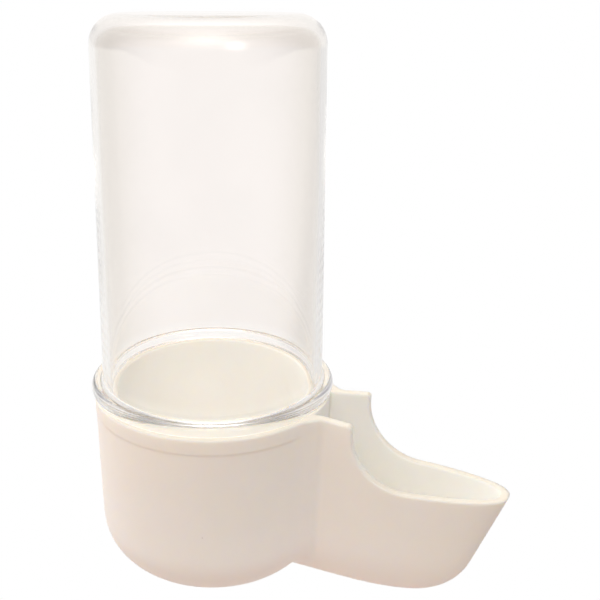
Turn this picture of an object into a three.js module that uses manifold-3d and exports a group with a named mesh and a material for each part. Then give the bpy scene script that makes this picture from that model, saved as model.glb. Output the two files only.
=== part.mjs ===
// Gravity drinker for cage birds: a clear reservoir tube that stands in a white moulded base.
// The base is a round cup that runs out into a drinking spout. Water leaves the cup through a slot at
// the foot of its wall and stands in the spout's trough as high as that slot, while the tube holds the rest.
// Millimetres and degrees, +Z up. The origin is on the cup's axis at the underside, with the spout along +X.

import * as THREE from 'three';
import { mergeVertices } from 'three/addons/utils/BufferGeometryUtils.js';
import Module from 'manifold-3d';

// Gap all round where the tube sits in the base
const FIT_CLEARANCE = 0.3;

// Reservoir tube
const TUBE_RADIUS = 25;
const TUBE_HEIGHT = 81;
const TUBE_WALL = 1.3;
const TUBE_DRAFT = 1.1;
const CROWN_ROUNDING = 6;
const CROWN_WALL = 1.6;
const FLANGE_REACH = 2.5;
const FLANGE_THICKNESS = 2.9;
const FLANGE_FILLET = 0.8;
const SPIGOT_LENGTH = 8;
const SPIGOT_CHAMFER = 0.5;

// Cup of the base
const CUP_HEIGHT = 42.4;
const CUP_LIP_WALL = 1.65;
const CUP_DRAFT = 0.45;
const CUP_FLOOR = 2.2;
const FOOT_ROUNDING = 12.2;
const FOOT_WALL = 3.2;
const RIM_BAND_HEIGHT = 3.5;
const RIM_BAND_STEP = 0.15;
const COLLAR_WALL = 1.2;
const COLLAR_RISE = 1.4;
const COLLAR_DRAFT = 0.3;

// Neck and drinking spout of the base
const NECK_ANGLE = 24.5;
const NECK_LENGTH = 1.45;
const NECK_HALF_WIDTH = 7.8;
const NECK_HOLLOW = 1.7;
const SHOULDER_LENGTH = 6.8;
const SPOUT_LENGTH = 40.75;
const SPOUT_HALF_WIDTH = 9.3;
const SPOUT_WALL = 1.7;
const SPOUT_DRAFT_ANGLE = 2.6;
const SPOUT_RIM_HEIGHT = 28;
const SWEEP_RADIUS = 12.2;
const BOW_LENGTH = 29.7;
const BOW_FULLNESS = 1.7;
const BOW_BLUNTNESS = 2.5;
const NOSE_RAKE_ANGLE = 20.2;
const NOSE_ROUNDING = 16;
const KEEL_HALF_WIDTH = 1.5;

// Water slot between the cup and the trough
const SLOT_WIDTH = 7;
const SLOT_HEIGHT = 15;
const SLOT_SILL = 1.2;

// Fineness of the facets
const ROUND_STEPS = 72;
const CUP_STEPS = 60;
const BOW_STEPS = 16;
const EDGE_STEPS = 8;
const WALL_STEPS = 3;
const ARC_STEPS = 6;

// Distance by which a cutting shape runs past the surface that it opens
const CUT_THROUGH = 5;

const wasm = await Module();
wasm.setup();

const radians = THREE.MathUtils.degToRad;
const point = (x, y) => new THREE.Vector2(x, y);

const cupRadius = TUBE_RADIUS + FIT_CLEARANCE + CUP_LIP_WALL;
const collarOuterRadius = TUBE_RADIUS - TUBE_WALL - FIT_CLEARANCE;
const collarTop = CUP_HEIGHT + COLLAR_RISE;
const rimBandFoot = CUP_HEIGHT - RIM_BAND_HEIGHT;
const neckReach = cupRadius + NECK_LENGTH;
const shoulderReach = neckReach + SHOULDER_LENGTH;
const spoutReach = cupRadius + SPOUT_LENGTH;

// Points of a circular arc from one angle to another
function arc(centreX, centreY, radius, fromAngle, toAngle, steps) {
  const points = [];
  for (let step = 0; step <= steps; step += 1) {
    const angle = radians(fromAngle + ((toAngle - fromAngle) * step) / steps);
    points.push(point(centreX + radius * Math.cos(angle), centreY + radius * Math.sin(angle)));
  }
  return points;
}

// Heights that step evenly round a quarter arc, from its foot to its top
function edgeHeights(foot, top) {
  const heights = [];
  for (let step = 0; step <= EDGE_STEPS; step += 1) {
    heights.push(foot + (top - foot) * (1 - Math.cos(radians((90 * step) / EDGE_STEPS))));
  }
  return heights;
}

function toSolid(geometry) {
  const bare = geometry.clone();
  bare.deleteAttribute('normal');
  bare.deleteAttribute('uv');
  const merged = mergeVertices(bare, 1e-5);
  const corners = merged.index.array;
  const triangles = [];
  for (let i = 0; i < corners.length; i += 3) {
    const [a, b, c] = [corners[i], corners[i + 1], corners[i + 2]];
    if (a !== b && b !== c && c !== a) triangles.push(a, b, c);
  }
  return new wasm.Manifold(new wasm.Mesh({
    numProp: 3,
    vertProperties: Float32Array.from(merged.attributes.position.array),
    triVerts: Uint32Array.from(triangles),
  }));
}

function toGeometry(solid) {
  const mesh = solid.getMesh();
  const geometry = new THREE.BufferGeometry();
  geometry.setAttribute('position', new THREE.BufferAttribute(Float32Array.from(mesh.vertProperties), 3));
  geometry.setIndex(new THREE.BufferAttribute(Uint32Array.from(mesh.triVerts), 1));
  geometry.computeVertexNormals();
  return geometry;
}

// Solid of revolution about Z, from a profile of radius and height that runs anticlockwise
function revolve(profile) {
  return toSolid(new THREE.LatheGeometry(profile, ROUND_STEPS).rotateX(Math.PI / 2));
}

// Solid through level outlines that run anticlockwise with the same number of points, closed at both ends
function loft(levels) {
  const count = levels[0].outline.length;
  const positions = levels.flatMap(({ outline, height }) => outline.flatMap(({ x, y }) => [x, y, height]));
  const index = [];
  for (let start = 0; start < (levels.length - 1) * count; start += count) {
    for (let i = 0; i < count; i += 1) {
      const a = start + i;
      const b = start + ((i + 1) % count);
      index.push(a, b, b + count, a, b + count, a + count);
    }
  }
  const last = (levels.length - 1) * count;
  for (const [a, b, c] of THREE.ShapeUtils.triangulateShape(levels[0].outline, [])) index.push(a, c, b);
  for (const [a, b, c] of THREE.ShapeUtils.triangulateShape(levels.at(-1).outline, [])) {
    index.push(last + a, last + b, last + c);
  }
  const geometry = new THREE.BufferGeometry();
  geometry.setAttribute('position', new THREE.Float32BufferAttribute(positions, 3));
  geometry.setIndex(index);
  return toSolid(geometry);
}

// Reservoir tube: up the bore to the crown, down the drafted outside, over the flange bead to the spigot
function reservoirTube() {
  const seat = CUP_HEIGHT + FIT_CLEARANCE;
  const crown = seat + TUBE_HEIGHT;
  const crownRadius = TUBE_RADIUS - TUBE_DRAFT - CROWN_ROUNDING;
  const innerRounding = CROWN_ROUNDING - TUBE_WALL;
  const flangeTop = seat + FLANGE_THICKNESS;
  const bead = FLANGE_THICKNESS / 2;
  const spigotEnd = seat - SPIGOT_LENGTH;
  const bore = TUBE_RADIUS - TUBE_WALL;
  return revolve([
    point(0, crown - CROWN_WALL),
    ...arc(crownRadius, crown - CROWN_WALL - innerRounding, innerRounding, 90, 0, ARC_STEPS),
    point(bore, flangeTop),
    point(bore, spigotEnd),
    point(TUBE_RADIUS - SPIGOT_CHAMFER, spigotEnd),
    point(TUBE_RADIUS, spigotEnd + SPIGOT_CHAMFER),
    point(TUBE_RADIUS, seat),
    ...arc(TUBE_RADIUS + FLANGE_REACH - bead, seat + bead, bead, -90, 90, ARC_STEPS),
    ...arc(TUBE_RADIUS + FLANGE_FILLET, flangeTop + FLANGE_FILLET, FLANGE_FILLET, 270, 180, 2),
    ...arc(crownRadius, crown - CROWN_ROUNDING, CROWN_ROUNDING, 0, 90, ARC_STEPS),
    point(0, crown),
  ]);
}

// Outside radius of the cup: rounded foot, drafted wall and a slightly proud band under the rim
function cupRadiusAt(height) {
  const wall = cupRadius - CUP_DRAFT * (1 - height / CUP_HEIGHT);
  const belowRounding = Math.max(FOOT_ROUNDING - height, 0);
  const rounding = FOOT_ROUNDING - Math.sqrt(FOOT_ROUNDING ** 2 - belowRounding ** 2);
  const band = height < rimBandFoot ? RIM_BAND_STEP : 0;
  return wall - rounding - band;
}

// Reach of the raked, rounded nose at a height, on the outside or on an inside set in from it
function noseReachAt(height, inset) {
  const rake = radians(NOSE_RAKE_ANGLE);
  const radius = NOSE_ROUNDING - inset;
  const rakeFoot = NOSE_ROUNDING * (1 - Math.sin(rake));
  const centre = spoutReach - (SPOUT_RIM_HEIGHT - rakeFoot) * Math.tan(rake) - NOSE_ROUNDING * Math.cos(rake);
  const belowCentre = Math.max(NOSE_ROUNDING - height, radius * Math.sin(rake));
  const onRake = Math.max(height - NOSE_ROUNDING + radius * Math.sin(rake), 0);
  return centre + Math.sqrt(Math.max(radius ** 2 - belowCentre ** 2, 0)) + onRake * Math.tan(rake);
}

// Share of its full width that the spout has at a height, where its sides round in to the keel
function fullnessAt(height, inset) {
  const belowRounding = Math.max(FOOT_ROUNDING - height, 0) / (FOOT_ROUNDING - inset);
  return Math.sqrt(Math.max(1 - belowRounding ** 2, 0));
}

// One side of the boat-shaped spout at a height, as reaches and half widths from the neck to the nose
function spoutSideAt(height, inset) {
  const fullness = fullnessAt(height, inset);
  const draft = (CUP_HEIGHT - height) * Math.tan(radians(SPOUT_DRAFT_ANGLE));
  const tucked = (halfWidth) => KEEL_HALF_WIDTH + (halfWidth - draft - inset - KEEL_HALF_WIDTH) * fullness;
  const tip = noseReachAt(height, inset);
  const bowStart = spoutReach - BOW_LENGTH;
  const side = [point(neckReach - draft, tucked(NECK_HALF_WIDTH)), point(shoulderReach, tucked(SPOUT_HALF_WIDTH))];
  for (let step = 0; step < BOW_STEPS; step += 1) {
    const along = Math.sin(radians((90 * step) / BOW_STEPS));
    const taper = (1 - along ** BOW_FULLNESS) ** (1 / BOW_BLUNTNESS);
    side.push(point(bowStart + (tip - bowStart) * along, tucked(SPOUT_HALF_WIDTH) * taper));
  }
  return [...side, point(tip, 0)];
}

function mirrored(side) {
  return side.map(({ x, y }) => point(x, -y));
}

// Outside of the whole base: the cup's circle, a flat at each side of the neck, and the spout.
// The flats close in faster than the spout does towards the foot, which hollows the neck's underside.
function baseOutline(height) {
  const side = spoutSideAt(height, 0);
  const radius = cupRadiusAt(height);
  const fullHalfWidth = radius * Math.sin(radians(NECK_ANGLE));
  const halfWidth = KEEL_HALF_WIDTH + (fullHalfWidth - KEEL_HALF_WIDTH) * fullnessAt(height, 0) ** NECK_HOLLOW;
  const angle = THREE.MathUtils.radToDeg(Math.asin(halfWidth / radius));
  const round = arc(0, 0, radius, angle, 360 - angle, CUP_STEPS);
  return [...mirrored(side), ...side.slice(0, -1).reverse(), ...round];
}

function baseBody() {
  const heights = edgeHeights(0, FOOT_ROUNDING);
  const bandChamferFoot = rimBandFoot - RIM_BAND_STEP;
  for (let step = 1; step <= WALL_STEPS; step += 1) {
    heights.push(FOOT_ROUNDING + ((bandChamferFoot - FOOT_ROUNDING) * step) / WALL_STEPS);
  }
  heights.push(rimBandFoot, collarTop);
  return loft(heights.map((height) => ({ height, outline: baseOutline(height) })));
}

// Inside of the cup and of the collar that stands in the tube's bore
function cupSpace() {
  const rounding = FOOT_ROUNDING - FOOT_WALL;
  const top = collarOuterRadius - COLLAR_WALL;
  const above = collarTop + CUT_THROUGH;
  return revolve([
    point(0, CUP_FLOOR),
    ...arc(top - COLLAR_DRAFT - rounding, CUP_FLOOR + rounding, rounding, -90, 0, ARC_STEPS),
    point(top, collarTop),
    point(top, above),
    point(0, above),
  ]);
}

// Everything above the rim outside the collar, with the groove that takes the tube's spigot
function rimSpace() {
  const grooveFloor = CUP_HEIGHT - SPIGOT_LENGTH;
  const grooveOuterRadius = TUBE_RADIUS + FIT_CLEARANCE;
  const outside = spoutReach * 2;
  const above = collarTop + CUT_THROUGH;
  return revolve([
    point(collarOuterRadius, grooveFloor),
    point(grooveOuterRadius, grooveFloor),
    point(grooveOuterRadius, CUP_HEIGHT),
    point(outside, CUP_HEIGHT),
    point(outside, above),
    point(collarOuterRadius, above),
    point(collarOuterRadius, grooveFloor),
  ]);
}

// Inside of the neck and spout, up to the cup's outside, which runs on across the neck as a wall
function troughSpace() {
  const heights = [...edgeHeights(SPOUT_WALL, FOOT_ROUNDING), collarTop + CUT_THROUGH];
  const trough = loft(heights.map((height) => {
    const side = spoutSideAt(height, SPOUT_WALL);
    const withinCup = [point(0, side[0].y)];
    const outline = [...withinCup, ...side];
    return { height, outline: [...mirrored(outline), ...outline.slice(0, -1).reverse()] };
  }));
  const wallHeights = [...edgeHeights(0, FOOT_ROUNDING), collarTop + CUT_THROUGH];
  const wall = wallHeights.map((height) => point(cupRadiusAt(height), height));
  return trough.subtract(revolve([point(0, 0), ...wall, point(0, wallHeights.at(-1))]));
}

// Everything above the spout's rim: level along the rim, then a quarter sweep up to the neck's top
function spoutTopSpace() {
  const above = collarTop + CUT_THROUGH + SWEEP_RADIUS;
  const width = cupRadius * 2;
  const side = new THREE.Shape([
    point(spoutReach * 2, SPOUT_RIM_HEIGHT),
    point(spoutReach * 2, above),
    point(shoulderReach, above),
    ...arc(shoulderReach + SWEEP_RADIUS, SPOUT_RIM_HEIGHT + SWEEP_RADIUS, SWEEP_RADIUS, 180, 270, EDGE_STEPS),
  ]);
  const geometry = new THREE.ExtrudeGeometry(side, { depth: width, bevelEnabled: false });
  return toSolid(geometry.rotateX(Math.PI / 2).translate(0, width / 2, 0));
}

// Slot with round ends through the cup's wall, from the cup's floor into the trough
function slotSpace() {
  const radius = SLOT_WIDTH / 2;
  const foot = CUP_FLOOR + SLOT_SILL;
  const slot = new THREE.Shape([
    ...arc(0, foot + SLOT_HEIGHT - radius, radius, 0, 180, ARC_STEPS),
    ...arc(0, foot + radius, radius, 180, 360, ARC_STEPS),
  ]);
  const geometry = new THREE.ExtrudeGeometry(slot, { depth: neckReach, bevelEnabled: false });
  return toSolid(geometry.rotateX(Math.PI / 2).rotateZ(Math.PI / 2));
}

function drinkerBase() {
  return [cupSpace(), rimSpace(), troughSpace(), spoutTopSpace(), slotSpace()]
    .reduce((body, space) => body.subtract(space), baseBody());
}

function addPiece(group, name, solid, material) {
  const mesh = new THREE.Mesh(toGeometry(solid), new THREE.MeshStandardMaterial(material));
  mesh.name = name;
  group.add(mesh);
}

const drinker = new THREE.Group();
addPiece(drinker, 'drinker_base', drinkerBase(), { color: 0xf3ece2, roughness: 0.4, metalness: 0 });
addPiece(drinker, 'reservoir_tube', reservoirTube(), {
  color: 0xf6f4f2, roughness: 0.05, metalness: 0, transparent: true, opacity: 0.3,
});

export default drinker;
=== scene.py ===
# Bird water drinker: a clear reservoir tube that stands in a warm white base with a drinking spout.
# Metres, +Z up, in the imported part's own frame: the cup's axis is Z and the spout runs out along +X.

import math

import bmesh
import bpy
from mathutils import Matrix, Vector


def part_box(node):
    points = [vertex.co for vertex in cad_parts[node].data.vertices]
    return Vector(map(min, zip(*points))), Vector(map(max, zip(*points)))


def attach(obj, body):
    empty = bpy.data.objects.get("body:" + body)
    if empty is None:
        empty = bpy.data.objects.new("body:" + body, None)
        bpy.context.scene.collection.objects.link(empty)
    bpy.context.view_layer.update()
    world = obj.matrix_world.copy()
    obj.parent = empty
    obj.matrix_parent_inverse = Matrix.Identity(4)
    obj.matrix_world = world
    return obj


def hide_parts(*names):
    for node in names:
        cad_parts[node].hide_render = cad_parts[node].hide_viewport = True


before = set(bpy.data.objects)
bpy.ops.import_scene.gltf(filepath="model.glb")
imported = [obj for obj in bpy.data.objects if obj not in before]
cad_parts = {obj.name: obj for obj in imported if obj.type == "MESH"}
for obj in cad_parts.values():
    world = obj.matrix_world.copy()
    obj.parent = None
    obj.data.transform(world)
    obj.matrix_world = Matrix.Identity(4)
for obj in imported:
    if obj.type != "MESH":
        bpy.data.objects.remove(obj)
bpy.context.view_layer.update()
bpy.ops.object.select_all(action="DESELECT")


# Base: one injection moulding in warm white polystyrene, a round cup that runs out into a drinking spout.
# The hull is raised level by level from its flat underside, then hollowed by cores as a mould does it:
# the cup with the groove for the tube, the trough, the sweep down to the spout's rim and the water slot.

base_low, base_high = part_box("drinker_base")
tube_low, tube_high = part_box("reservoir_tube")

FIT_CLEARANCE = 0.0003
TUBE_WALL = 0.0013
COLLAR_RISE = 0.0014
COLLAR_WALL = 0.0012
COLLAR_ROUNDING = 0.00045
CUP_LIP_WALL = 0.00165
CUP_DRAFT = 0.00045
CUP_FLOOR = 0.0022
CUP_CORE_ROUNDING = 0.009
CUP_CORE_DRAFT = 0.0003
FOOT_ROUNDING = 0.0122
RIM_BAND_HEIGHT = 0.0035
RIM_BAND_STEP = 0.00008
NECK_ANGLE = math.radians(24.5)
NECK_LENGTH = 0.00145
NECK_HALF_WIDTH = 0.0078
NECK_HOLLOW = 1.7
SHOULDER_LENGTH = 0.0068
SPOUT_HALF_WIDTH = 0.0093
SPOUT_WALL = 0.0017
SPOUT_DRAFT = math.tan(math.radians(2.6))
SPOUT_RIM_HEIGHT = 0.028
SWEEP_RADIUS = 0.0122
BOW_LENGTH = 0.0297
BOW_FULLNESS = 1.7
BOW_BLUNTNESS = 2.5
NOSE_RAKE = math.radians(20.2)
NOSE_ROUNDING = 0.016
KEEL_HALF_WIDTH = 0.0015
SLOT_WIDTH = 0.007
SLOT_HEIGHT = 0.015
SLOT_SILL = 0.0012
ROOT_BLEND = 0.0016
VALLEY_BLEND = 0.0012
SHOULDER_BLEND = 0.0032
LIP_ROUNDING = 0.00045
LIP_CORNER = 0.0009
CUT_THROUGH = 0.005
CUT_MERGE = 0.00002
SEAM_MERGE = 0.000001
SMOOTH_ANGLE = math.radians(32)

CUP_STEPS = 88
BOW_STEPS = 36
BLEND_STEPS = 6
FOOT_STEPS = 20
WALL_STEPS = 8
ARC_STEPS = 12
SWEEP_STEPS = 32
ROUND_STEPS = 192

cup_radius = -base_low.x
spout_reach = base_high.x
collar_top = base_high.z
rim_height = collar_top - COLLAR_RISE
rim_band_foot = rim_height - RIM_BAND_HEIGHT
neck_reach = cup_radius + NECK_LENGTH
shoulder_reach = neck_reach + SHOULDER_LENGTH
groove_outer_radius = cup_radius - CUP_LIP_WALL
spigot_radius = groove_outer_radius - FIT_CLEARANCE
groove_floor = tube_low.z - FIT_CLEARANCE


def cup_radius_at(height):
    below_rounding = max(FOOT_ROUNDING - height, 0)
    rounding = FOOT_ROUNDING - math.sqrt(FOOT_ROUNDING**2 - below_rounding**2)
    band = RIM_BAND_STEP if height < rim_band_foot else 0
    return cup_radius - CUP_DRAFT * (1 - height / rim_height) - rounding - band


def nose_reach_at(height, inset):
    radius = NOSE_ROUNDING - inset
    rake_foot = NOSE_ROUNDING * (1 - math.sin(NOSE_RAKE))
    lean = (SPOUT_RIM_HEIGHT - rake_foot) * math.tan(NOSE_RAKE)
    centre = spout_reach - lean - NOSE_ROUNDING * math.cos(NOSE_RAKE)
    below_centre = max(NOSE_ROUNDING - height, radius * math.sin(NOSE_RAKE))
    on_rake = max(height - NOSE_ROUNDING + radius * math.sin(NOSE_RAKE), 0)
    return centre + math.sqrt(max(radius**2 - below_centre**2, 0)) + on_rake * math.tan(NOSE_RAKE)


def fullness_at(height, inset):
    below_rounding = max(FOOT_ROUNDING - height, 0) / (FOOT_ROUNDING - inset)
    return math.sqrt(max(1 - below_rounding**2, 0))


def blend_corners(path, reaches):
    """The path with each inner corner replaced by a smooth bend that starts a reach before it."""
    bent = [path[0]]
    for number, reach in enumerate(reaches, start=1):
        before, corner, after = path[number - 1 : number + 2]
        share_before = 1 if number == 1 else 0.5
        share_after = 1 if number == len(reaches) else 0.5
        start = corner.lerp(before, min(reach / (before - corner).length, share_before))
        end = corner.lerp(after, min(reach / (after - corner).length, share_after))
        for step in range(BLEND_STEPS + 1):
            share = step / BLEND_STEPS
            bent.append(start.lerp(corner, share).lerp(corner.lerp(end, share), share))
    return bent + [path[-1]]


def spout_side_at(height, inset):
    """One side of the boat-shaped spout: its bow from nose to shoulder, its shoulder and its neck."""
    draft = (rim_height - height) * SPOUT_DRAFT
    fullness = fullness_at(height, inset)
    half_width, neck_half_width = (
        KEEL_HALF_WIDTH + (full - draft - inset - KEEL_HALF_WIDTH) * fullness
        for full in (SPOUT_HALF_WIDTH, NECK_HALF_WIDTH)
    )
    bow_start = spout_reach - BOW_LENGTH
    tip = nose_reach_at(height, inset)
    bow = []
    for step in range(BOW_STEPS, -1, -1):
        along = math.sin(math.radians(90 * step / BOW_STEPS))
        taper = max(1 - along**BOW_FULLNESS, 0) ** (1 / BOW_BLUNTNESS)
        bow.append(Vector((bow_start + (tip - bow_start) * along, half_width * taper)))
    shoulder = Vector((shoulder_reach, half_width))
    neck = Vector((neck_reach - draft, neck_half_width))
    return bow, shoulder, neck


def both_sides(half):
    return half + [Vector((point.x, -point.y)) for point in reversed(half[1:-1])]


def hull_outline(height):
    bow, shoulder, neck = spout_side_at(height, 0)
    radius = cup_radius_at(height)
    full_half_width = radius * math.sin(NECK_ANGLE)
    hollow = fullness_at(height, 0) ** NECK_HOLLOW
    half_width = KEEL_HALF_WIDTH + (full_half_width - KEEL_HALF_WIDTH) * hollow
    root_angle = math.asin(half_width / radius)
    root = Vector((radius * math.cos(root_angle), half_width))
    first_angle = root_angle + ROOT_BLEND / radius
    cup = []
    for step in range(CUP_STEPS + 1):
        angle = first_angle + (math.pi - first_angle) * step / CUP_STEPS
        cup.append(Vector((radius * math.cos(angle), radius * math.sin(angle))))
    corners = [bow[-1], shoulder, neck, root, cup[0]]
    bends = blend_corners(corners, [SHOULDER_BLEND, VALLEY_BLEND, ROOT_BLEND])
    return both_sides(bow + bends[1:-1] + cup)


def trough_outline(height):
    bow, shoulder, neck = spout_side_at(height, SPOUT_WALL)
    corners = [bow[-1], shoulder, neck, Vector((0, neck.y))]
    bends = blend_corners(corners, [SHOULDER_BLEND, VALLEY_BLEND + SPOUT_WALL])
    return both_sides(bow + bends[1:] + [Vector((0, 0))])


def heights_between(foot, top):
    """Levels that step evenly round the foot's rounding and then up the wall."""
    levels = [
        foot + (FOOT_ROUNDING - foot) * (1 - math.cos(math.radians(90 * step / FOOT_STEPS)))
        for step in range(FOOT_STEPS + 1)
    ]
    wall = top - FOOT_ROUNDING
    return levels + [FOOT_ROUNDING + wall * step / WALL_STEPS for step in range(1, WALL_STEPS + 1)]


def settle_top(piece, outline, height):
    """Lays the selected top face on an outline."""
    mesh = bmesh.from_edit_mesh(piece.data)
    top = next(face for face in mesh.faces if face.select)
    for corner, point in zip(top.verts, outline):
        corner.co = (point.x, point.y, height)
    bmesh.update_edit_mesh(piece.data)


def raise_levels(name, levels):
    """A closed solid raised from its lowest outline through the others."""
    lowest, outline = levels[0]
    bpy.ops.mesh.primitive_circle_add(vertices=len(outline), radius=cup_radius, fill_type="NGON")
    piece = bpy.context.object
    piece.name = name
    bpy.ops.object.mode_set(mode="EDIT")
    settle_top(piece, outline, lowest)
    for height, outline in levels[1:]:
        bpy.ops.mesh.extrude_region_move()
        settle_top(piece, outline, height)
    bpy.ops.mesh.select_all(action="DESELECT")
    bpy.ops.mesh.select_non_manifold()
    bpy.ops.mesh.edge_face_add()
    bpy.ops.mesh.select_all(action="SELECT")
    bpy.ops.mesh.normals_make_consistent(inside=False)
    bpy.ops.object.mode_set(mode="OBJECT")
    return piece


def pen_down(name, x, z):
    """Starts a profile in the XZ plane: a plane drawn together into one point."""
    bpy.ops.mesh.primitive_plane_add(size=cup_radius)
    piece = bpy.context.object
    piece.name = name
    bpy.ops.object.mode_set(mode="EDIT")
    bpy.ops.mesh.merge(type="CENTER")
    bpy.ops.transform.translate(value=(x, 0, z))
    return piece


def pen_point():
    mesh = bmesh.from_edit_mesh(bpy.context.object.data)
    return next(corner.co.copy() for corner in mesh.verts if corner.select)


def line_to(x, z):
    step = Vector((x, 0, z)) - pen_point()
    bpy.ops.mesh.extrude_region_move(TRANSFORM_OT_translate={"value": step})


def arc_about(x, z, degrees, steps=ARC_STEPS):
    """Draws an arc round a centre, anticlockwise seen with +X to the right and +Z up."""
    bpy.ops.mesh.spin(steps=steps, angle=math.radians(degrees), center=(x, 0, z), axis=(0, 1, 0))


def revolve():
    bpy.ops.mesh.select_all(action="SELECT")
    bpy.ops.mesh.spin(steps=ROUND_STEPS, angle=math.tau, center=(0, 0, 0), axis=(0, 0, 1))
    bpy.ops.mesh.select_all(action="SELECT")
    bpy.ops.mesh.remove_doubles(threshold=SEAM_MERGE)
    bpy.ops.mesh.normals_make_consistent(inside=False)
    bpy.ops.object.mode_set(mode="OBJECT")


def cut_away(piece, core):
    cut = piece.modifiers.new("cut", "BOOLEAN")
    cut.operation = "DIFFERENCE"
    cut.object = core
    bpy.context.view_layer.objects.active = piece
    bpy.ops.object.modifier_apply(modifier=cut.name)
    bpy.data.objects.remove(core)


hull_heights = heights_between(0, rim_band_foot - RIM_BAND_STEP) + [rim_band_foot, collar_top]
base = raise_levels("base_moulding", [(height, hull_outline(height)) for height in hull_heights])

above = collar_top + CUT_THROUGH
beyond = spout_reach * 2
collar_outer_radius = spigot_radius - TUBE_WALL - FIT_CLEARANCE
collar_inner_radius = collar_outer_radius - COLLAR_WALL
core_foot_radius = collar_inner_radius - CUP_CORE_DRAFT
collar_shoulder = collar_top - COLLAR_ROUNDING
cup_core = pen_down("cup_core", 0, CUP_FLOOR)
line_to(core_foot_radius - CUP_CORE_ROUNDING, CUP_FLOOR)
arc_about(core_foot_radius - CUP_CORE_ROUNDING, CUP_FLOOR + CUP_CORE_ROUNDING, 90)
line_to(collar_inner_radius, collar_shoulder)
arc_about(collar_inner_radius + COLLAR_ROUNDING, collar_shoulder, -90)
line_to(collar_outer_radius - COLLAR_ROUNDING, collar_top)
arc_about(collar_outer_radius - COLLAR_ROUNDING, collar_shoulder, -90)
line_to(collar_outer_radius, groove_floor)
line_to(groove_outer_radius, groove_floor)
line_to(groove_outer_radius, rim_height - LIP_ROUNDING)
arc_about(groove_outer_radius + LIP_ROUNDING, rim_height - LIP_ROUNDING, -90)
line_to(beyond, rim_height)
line_to(beyond, above)
line_to(0, above)
revolve()

trough_heights = heights_between(SPOUT_WALL, above)
trough_core = raise_levels("trough_core", [(height, trough_outline(height)) for height in trough_heights])
cup_plug = pen_down("cup_plug", 0, 0)
for height in heights_between(0, above):
    line_to(cup_radius_at(height), height)
line_to(0, above)
revolve()
cut_away(trough_core, cup_plug)

sweep_core = pen_down("sweep_core", beyond, SPOUT_RIM_HEIGHT)
line_to(beyond, above)
line_to(shoulder_reach - LIP_CORNER, above)
line_to(shoulder_reach - LIP_CORNER, rim_height)
arc_about(shoulder_reach - LIP_CORNER, rim_height - LIP_CORNER, -90)
line_to(shoulder_reach, SPOUT_RIM_HEIGHT + SWEEP_RADIUS)
arc_about(shoulder_reach + SWEEP_RADIUS, SPOUT_RIM_HEIGHT + SWEEP_RADIUS, 90, SWEEP_STEPS)
bpy.ops.mesh.select_all(action="SELECT")
bpy.ops.mesh.edge_face_add()
bpy.ops.transform.translate(value=(0, -cup_radius, 0))
bpy.ops.mesh.extrude_region_move(TRANSFORM_OT_translate={"value": (0, 2 * cup_radius, 0)})
bpy.ops.mesh.select_all(action="SELECT")
bpy.ops.mesh.normals_make_consistent(inside=False)
bpy.ops.object.mode_set(mode="OBJECT")

slot_radius = SLOT_WIDTH / 2
slot_foot = CUP_FLOOR + SLOT_SILL + slot_radius
bpy.ops.mesh.primitive_cylinder_add(
    vertices=4 * ARC_STEPS, radius=slot_radius, depth=neck_reach, rotation=(0, math.pi / 2, 0),
    location=(neck_reach / 2, 0, slot_foot),
)
slot_core = bpy.context.object
bpy.ops.object.transform_apply(location=True, rotation=True, scale=False)
bpy.ops.object.mode_set(mode="EDIT")
slot_mesh = bmesh.from_edit_mesh(slot_core.data)
for corner in slot_mesh.verts:
    corner.select = corner.co.z > slot_foot
slot_mesh.select_flush_mode()
bpy.ops.transform.translate(value=(0, 0, SLOT_HEIGHT - SLOT_WIDTH))
bpy.ops.object.mode_set(mode="OBJECT")

for core in (cup_core, trough_core, sweep_core, slot_core):
    cut_away(base, core)

bpy.ops.object.select_all(action="DESELECT")
base.select_set(True)
bpy.context.view_layer.objects.active = base
bpy.ops.object.mode_set(mode="EDIT")
bpy.ops.mesh.select_all(action="SELECT")
bpy.ops.mesh.remove_doubles(threshold=CUT_MERGE)
bpy.ops.object.mode_set(mode="OBJECT")
bpy.ops.object.shade_smooth_by_angle(angle=SMOOTH_ANGLE)
even_shade = base.modifiers.new("even_shade", "WEIGHTED_NORMAL")
even_shade.keep_sharp = True
bpy.ops.object.modifier_apply(modifier=even_shade.name)


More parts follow.
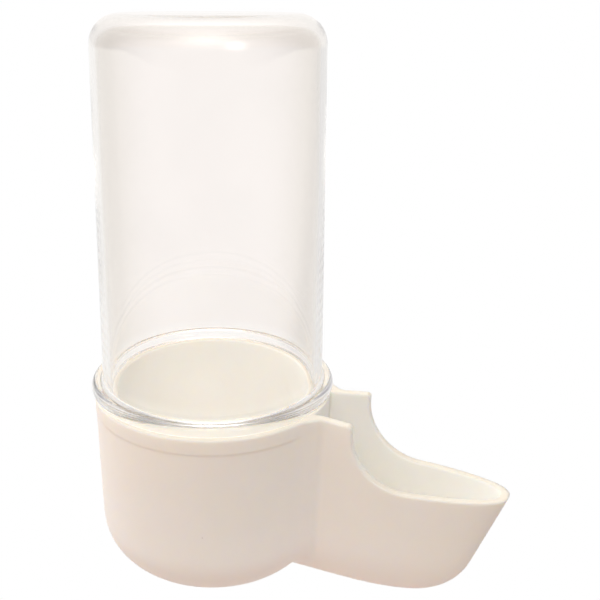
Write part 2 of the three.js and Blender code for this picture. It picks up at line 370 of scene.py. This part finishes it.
class Wire:
    """A socket in a material: sums, differences and products of wires add Math nodes."""

    def __init__(self, socket):
        self.socket = socket
        self.tree = socket.id_data

    def node(self, kind, settings, inputs, output=0):
        """Any other node: its settings are set first, then each socket gets its value or its link."""
        node = self.tree.nodes.new(kind)
        for name, value in settings.items():
            setattr(node, name, value)
        for name, value in inputs.items():
            if isinstance(value, Wire):
                self.tree.links.new(value.socket, node.inputs[name])
            else:
                node.inputs[name].default_value = value
        return Wire(node.outputs[output])

    def math(self, operation, *values):
        return self.node("ShaderNodeMath", {"operation": operation}, dict(enumerate(values)))

    def __add__(self, other):
        return self.math("ADD", self, other)

    def __radd__(self, other):
        return self.math("ADD", other, self)

    def __sub__(self, other):
        return self.math("SUBTRACT", self, other)

    def __rsub__(self, other):
        return self.math("SUBTRACT", other, self)

    def __mul__(self, other):
        return self.math("MULTIPLY", self, other)

    def __rmul__(self, other):
        return self.math("MULTIPLY", other, self)

    def noise(self, scale, detail):
        return self.node("ShaderNodeTexNoise", {}, {"Vector": self, "Scale": scale, "Detail": detail})

    def stretched(self, scale):
        return self.node("ShaderNodeMapping", {}, {"Vector": self, "Scale": scale})

    def upward(self):
        return self.node("ShaderNodeSeparateXYZ", {}, {"Vector": self}, "Z")

    def length(self):
        return self.node("ShaderNodeVectorMath", {"operation": "LENGTH"}, {0: self}, "Value")

    def ray(self, kind):
        """1 for rays of one kind, and 0 for all others."""
        return self.node("ShaderNodeLightPath", {}, {}, kind)

    def step(self, low, high):
        """A smooth mask that rises from 0 to 1 between two values."""
        span = {"Value": self, "From Min": low, "From Max": high}
        return self.node("ShaderNodeMapRange", {"interpolation_type": "SMOOTHSTEP"}, span)

    def blend(self, colour, other):
        """The wire as a mask between two colours: a Mix node's inputs 6 and 7, and its output 2."""
        return self.node("ShaderNodeMix", {"data_type": "RGBA"}, {0: self, 6: colour, 7: other}, 2)

    def into(self, socket):
        self.tree.links.new(self.socket, socket)


def new_plastic(name):
    """A material with its shader and the wire of the piece's own place."""
    material = bpy.data.materials.new(name)
    material.use_nodes = True
    nodes = material.node_tree.nodes
    place = Wire(nodes.new("ShaderNodeTexCoord").outputs["Object"])
    return material, nodes["Principled BSDF"], place


WARM_WHITE = (0.95, 0.922, 0.88, 1)
PALE_CREAM = (0.965, 0.937, 0.895, 1)
RIM_SHADE_COLOUR = (0.79, 0.73, 0.64, 1)
RIM_SHADE_HEIGHTS = (0.02, 0.026)
SKYWARD = (0.4, 0.95)
DUST = (0.47, 0.40, 0.32, 1)
DUST_COVER = 0.6
FLOW_SCALE = 70
FLOW_LIMITS = (0.35, 0.65)
GRAIN_SCALE = 1800
GRAIN_DEPTH = 0.00004
GRAIN_RELIEF = 0.12
GRAIN_ROUGHNESS = 0.08
SCUFF_SCALE = (420, 420, 2600)
SCUFF_LIMITS = (0.66, 0.74)
SCUFF_RELIEF = 0.5
SCUFF_ROUGHNESS = 0.12
SPECK_SCALE = 240
SPECK_EDGES = (0.02, 0.045)
SPECK_CHOICE = (0.93, 0.94)
SATIN_ROUGHNESS = 0.36
SATIN_IOR = 1.55
SATIN_SPECULAR = 0.2
LIGHT_DEPTH = 0.0008
LIGHT_SPREAD = (1, 0.9, 0.75)
LIP_SAMPLES = 8
UNLIT = (0, 0, 0, 1)
PIPED_LIGHT = (0.25, 0.22, 0.18, 1)

satin, satin_shader, place = new_plastic("warm_white_plastic")
flow = place.noise(FLOW_SCALE, detail=2).step(*FLOW_LIMITS)
grain = place.noise(GRAIN_SCALE, detail=2)
scuffs = place.stretched(SCUFF_SCALE).noise(1, detail=3).step(*SCUFF_LIMITS)
cells = {"Vector": place, "Scale": SPECK_SCALE}
speck_spread = place.node("ShaderNodeTexVoronoi", {}, cells, "Distance").step(*SPECK_EDGES)
speck_pick = place.node("ShaderNodeTexVoronoi", {}, cells, "Color")
speck_red = place.node("ShaderNodeSeparateColor", {}, {"Color": speck_pick}, "Red")
specks = (1 - speck_spread) * speck_red.step(*SPECK_CHOICE)
lips = place.node("ShaderNodeBevel", {"samples": LIP_SAMPLES}, {"Radius": 2 * LIP_ROUNDING})
# Painted shade: rims that face up, above the floors of the cup and the trough, take a darker cream that
# tones down the light falling on them from above.
skyward_rims = lips.upward().step(*SKYWARD) * place.upward().step(*RIM_SHADE_HEIGHTS)
rim_shaded = skyward_rims.blend(flow.blend(WARM_WHITE, PALE_CREAM), RIM_SHADE_COLOUR)
(specks * DUST_COVER).blend(rim_shaded, DUST).into(satin_shader.inputs["Base Color"])
dull = SATIN_ROUGHNESS + grain * GRAIN_ROUGHNESS + scuffs * SCUFF_ROUGHNESS
dull.into(satin_shader.inputs["Roughness"])
height = grain + scuffs * SCUFF_RELIEF
relief = {"Height": height, "Strength": GRAIN_RELIEF, "Distance": GRAIN_DEPTH, "Normal": lips}
place.node("ShaderNodeBump", {}, relief).into(satin_shader.inputs["Normal"])
satin_shader.inputs["IOR"].default_value = SATIN_IOR
satin_shader.inputs["Specular IOR Level"].default_value = SATIN_SPECULAR
satin_shader.inputs["Subsurface Weight"].default_value = 1
satin_shader.inputs["Subsurface Radius"].default_value = LIGHT_SPREAD
satin_shader.inputs["Subsurface Scale"].default_value = LIGHT_DEPTH

# A stand-in for light that the clear spigot would pipe down: the groove's walls glow,
# but only where they are seen through clear plastic.
across = place.stretched((1, 1, 0)).length()
groove_inside = across.step(collar_outer_radius - LIP_ROUNDING, collar_outer_radius)
groove_outside = across.step(groove_outer_radius + LIP_ROUNDING, groove_outer_radius)
piped = groove_inside * groove_outside * place.ray("Is Transmission Ray")
piped.blend(UNLIT, PIPED_LIGHT).into(satin_shader.inputs["Emission Color"])
satin_shader.inputs["Emission Strength"].default_value = 1
satin.cycles.emission_sampling = "NONE"
base.data.materials.append(satin)

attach(base, "base")
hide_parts("drinker_base")


# Reservoir tube: one injection moulding in polished clear polystyrene, open below and closed at the crown.
# Its spigot is pushed into the base's groove until the bead flange seats on the cup's rim.

TUBE_DRAFT = 0.0011
CROWN_ROUNDING = 0.006
CROWN_WALL = 0.0016
FLANGE_THICKNESS = 0.0029
FLANGE_FILLET = 0.0008
SPIGOT_CHAMFER = 0.0005

seat = rim_height + FIT_CLEARANCE
crown = tube_high.z
bore = spigot_radius - TUBE_WALL
crown_radius = spigot_radius - TUBE_DRAFT - CROWN_ROUNDING
inner_rounding = CROWN_ROUNDING - TUBE_WALL
bead = FLANGE_THICKNESS / 2
flange_top = seat + FLANGE_THICKNESS
fillet_centre = spigot_radius + FLANGE_FILLET

tube = pen_down("reservoir_shell", 0, crown)
line_to(crown_radius, crown)
arc_about(crown_radius, crown - CROWN_ROUNDING, -90)
line_to(spigot_radius, flange_top + FLANGE_FILLET)
arc_about(fillet_centre, flange_top + FLANGE_FILLET, 90)
line_to(tube_high.x - bead, flange_top)
arc_about(tube_high.x - bead, seat + bead, -180, 2 * ARC_STEPS)
line_to(spigot_radius, seat)
line_to(spigot_radius, tube_low.z + SPIGOT_CHAMFER)
line_to(spigot_radius - SPIGOT_CHAMFER, tube_low.z)
line_to(bore, tube_low.z)
line_to(bore, flange_top)
line_to(crown_radius + inner_rounding, crown - CROWN_WALL - inner_rounding)
arc_about(crown_radius, crown - CROWN_WALL - inner_rounding, 90)
line_to(0, crown - CROWN_WALL)
revolve()
bpy.ops.object.shade_smooth_by_angle(angle=SMOOTH_ANGLE)

CLEAR_TINT = (0.98, 0.953, 0.935, 1)
CLEAR_HAZE = (0.965, 0.938, 0.92, 1)
SIDE_TINT = (0.85, 0.82, 0.775, 1)
FLANGE_TINT = (0.995, 0.99, 0.985, 1)
TINT_RUN = 0.004
SIDE_LIMITS = (0.1, 0.6)
HAZE_SCALE = 45
HAZE_LIMITS = (0.4, 0.7)
HAZE_ROUGHNESS = 0.02
WIPE_SCALE = (900, 900, 60)
WIPE_LIMITS = (0.66, 0.78)
WIPE_ROUGHNESS = 0.03
WAVE_STRETCH = (1, 1, 0.35)
WAVE_SCALE = 110
WAVE_DEPTH = 0.0003
WAVE_RELIEF = 0.1
POLISHED_ROUGHNESS = 0.015
CLEAR_IOR = 1.58

clear, clear_shader, place = new_plastic("clear_plastic")
haze = place.noise(HAZE_SCALE, detail=3).step(*HAZE_LIMITS)
wipe_marks = place.stretched(WIPE_SCALE).noise(1, detail=2).step(*WIPE_LIMITS)
side = place.node("ShaderNodeLayerWeight", {}, {"Blend": 0.5}, "Facing").step(*SIDE_LIMITS)
wall = place.upward().step(flange_top, flange_top + TINT_RUN)
wall_tint = side.blend(haze.blend(CLEAR_TINT, CLEAR_HAZE), SIDE_TINT)
wall.blend(FLANGE_TINT, wall_tint).into(clear_shader.inputs["Base Color"])
dull = POLISHED_ROUGHNESS + haze * HAZE_ROUGHNESS + wipe_marks * WIPE_ROUGHNESS
dull.into(clear_shader.inputs["Roughness"])
waves = place.stretched(WAVE_STRETCH).noise(WAVE_SCALE, detail=1)
relief = {"Height": waves, "Strength": WAVE_RELIEF, "Distance": WAVE_DEPTH}
place.node("ShaderNodeBump", {}, relief).into(clear_shader.inputs["Normal"])
clear_shader.inputs["IOR"].default_value = CLEAR_IOR
clear_shader.inputs["Transmission Weight"].default_value = 1

# Shadow rays and the rays that light the base pass straight through the thin wall.
passed = place.node("ShaderNodeBsdfTransparent", {}, {})
seen = Wire(clear_shader.outputs["BSDF"])
for kind in ("Is Shadow Ray", "Is Diffuse Ray"):
    seen = place.node("ShaderNodeMixShader", {}, {0: place.ray(kind), 1: seen, 2: passed})
seen.into(clear.node_tree.nodes["Material Output"].inputs["Surface"])
tube.data.materials.append(clear)

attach(tube, "reservoir")
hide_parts("reservoir_tube")


# Floor: a plain white light table that fills the picture, evenly bright, so no shadow greys it.
# The light that it throws up at the base is warm, fades from left to right, and is paler close by.
# A pale grey card behind the drinker shows only in reflections and through the clear plastic.

FLOOR_SIDE = 60
FLOOR_WHITE = (1, 1, 1, 1)
FLOOR_LIGHT = (0.80, 0.50, 0.33, 1)
FLOOR_SHADE = (0.39, 0.285, 0.22, 1)
FLOOR_NEAR = (0.71, 0.515, 0.425, 1)
NEAR_FULL = 0.04
NEAR_END = 0.12
LEFT_BEARING = 201
FADE_REACH = 0.1
CARD_GREY = (0.87, 0.87, 0.88, 1)
CARD_BEARING = 78
CARD_EDGES = (0.93, 0.97)

bpy.ops.mesh.primitive_plane_add(size=FLOOR_SIDE)
floor = bpy.context.object
floor.name = "floor"
table, table_shader, place = new_plastic("light_table")


def aimed(bearing, rise=0):
    """The direction at a bearing from the spout's axis and a rise above the floor."""
    bearing, rise = math.radians(bearing), math.radians(rise)
    return (math.cos(bearing) * math.cos(rise), math.sin(bearing) * math.cos(rise), math.sin(rise))


def towards(wire, aim):
    """How far a place or a direction lies along an aim."""
    return wire.node("ShaderNodeVectorMath", {"operation": "DOT_PRODUCT"}, {0: wire, 1: aim}, "Value")


outward = place.node("ShaderNodeVectorMath", {"operation": "NORMALIZE"}, {0: place}, "Vector")
card = towards(outward, aimed(CARD_BEARING)).step(*CARD_EDGES) * (1 - place.ray("Is Camera Ray"))
fade = towards(place, aimed(LEFT_BEARING)).step(-FADE_REACH, FADE_REACH)
near = place.length().step(NEAR_END, NEAR_FULL)
thrown = near.blend(fade.blend(FLOOR_SHADE, FLOOR_LIGHT), FLOOR_NEAR)
glow = place.ray("Is Diffuse Ray").blend(card.blend(FLOOR_WHITE, CARD_GREY), thrown)
glow.into(table_shader.inputs["Emission Color"])
table_shader.inputs["Emission Strength"].default_value = 1
table_shader.inputs["Base Color"].default_value = UNLIT
table_shader.inputs["Specular IOR Level"].default_value = 0
table.cycles.emission_sampling = "NONE"
floor.data.materials.append(table)


# Light: a pale studio, with broad soft panels overhead, in front, to the right and behind on the left.
# Gloss and the clear plastic show the studio's pale walls instead, with a dim bluish screen at each side
# to draw edges, and with brighter lamps in front and overhead.

PANEL_WARMTH = (1, 0.99, 0.965, 1)
WALL_SHADE = (1, 0.985, 0.97, 1)
SCREEN_SHADE = (0.15, 0.15, 0.20, 1)
RIGHT_BEARING = 21
CLEAR_BOUNCES = 128
DIFFUSE_BOUNCES = 8

# Light that runs round inside the clear flange is followed for many bounces, because fewer grey its edges.
rays = bpy.context.scene.cycles
rays.max_bounces = CLEAR_BOUNCES
rays.glossy_bounces = CLEAR_BOUNCES
rays.transmission_bounces = CLEAR_BOUNCES
rays.diffuse_bounces = DIFFUSE_BOUNCES

bpy.context.scene.view_settings.view_transform = "Standard"
world = bpy.data.worlds.new("studio")
bpy.context.scene.world = world
world.use_nodes = True
world.cycles.sampling_method = "NONE"
studio = world.node_tree.nodes
sight = Wire(studio.new("ShaderNodeTexCoord").outputs["Generated"])


def soft_panel(bearing, rise, focus, strength):
    """The light of a soft panel at a bearing and a rise: the higher its focus, the smaller it is."""
    facing = towards(sight, aimed(bearing, rise))
    return facing.math("POWER", facing.math("MAXIMUM", facing, 0), focus) * strength


ceiling = soft_panel(bearing=0, rise=90, focus=2, strength=0.60)
front = soft_panel(bearing=284, rise=50, focus=4, strength=1.56)
right = soft_panel(bearing=RIGHT_BEARING, rise=40, focus=4, strength=0.52)
behind = soft_panel(bearing=156, rise=15, focus=2, strength=2.28)
panels = ceiling + front + right + behind
lit = sight.node("ShaderNodeBackground", {}, {"Color": PANEL_WARMTH, "Strength": panels})

left_screen = soft_panel(bearing=LEFT_BEARING, rise=15, focus=5, strength=1)
right_screen = soft_panel(bearing=RIGHT_BEARING, rise=15, focus=5, strength=1)
walls = (left_screen + right_screen).blend(WALL_SHADE, SCREEN_SHADE)
low_lamp = soft_panel(bearing=320, rise=20, focus=90, strength=5)
front_lamp = soft_panel(bearing=291, rise=45, focus=12, strength=2)
top_lamp = soft_panel(bearing=0, rise=90, focus=2, strength=0.3)
brightness = 1 + low_lamp + front_lamp + top_lamp
shown = sight.node("ShaderNodeBackground", {}, {"Color": walls, "Strength": brightness})
view = sight.node("ShaderNodeMixShader", {}, {0: sight.ray("Is Diffuse Ray"), 1: shown, 2: lit})
view.into(studio["World Output"].inputs["Surface"])


# Camera: a short tele lens above the rim, to the left of the spout, in the photograph's square frame.
# Its place, its turn and its focal length in pixels are fitted to the photograph's outlines.

IMAGE_SIDE = 600
SENSOR_WIDTH = 36
CLIP_NEAR = 0.01
CLIP_FAR = 100
FOCAL_PIXELS = 858.99
CENTRE_X = 250.2
CENTRE_Y = 305.8
CAMERA_PLACE = (0.07234, -0.16557, 0.12744)
CAMERA_TILT = 0.3494
CAMERA_TURN = 0.3648
CAMERA_ROLL = 0.0027

bpy.ops.object.camera_add(location=CAMERA_PLACE)
camera = bpy.context.object
turn = Matrix.Rotation(CAMERA_TURN, 3, "Z")
tilt = Matrix.Rotation(math.pi / 2 - CAMERA_TILT, 3, "X")
roll = Matrix.Rotation(CAMERA_ROLL, 3, "Z")
camera.rotation_euler = (turn @ tilt @ roll).to_euler()
camera.data.sensor_width = SENSOR_WIDTH
camera.data.lens = FOCAL_PIXELS * SENSOR_WIDTH / IMAGE_SIDE
camera.data.shift_x = (IMAGE_SIDE / 2 - CENTRE_X) / IMAGE_SIDE
camera.data.shift_y = (CENTRE_Y - IMAGE_SIDE / 2) / IMAGE_SIDE
camera.data.clip_start = CLIP_NEAR
camera.data.clip_end = CLIP_FAR
bpy.context.scene.camera = camera
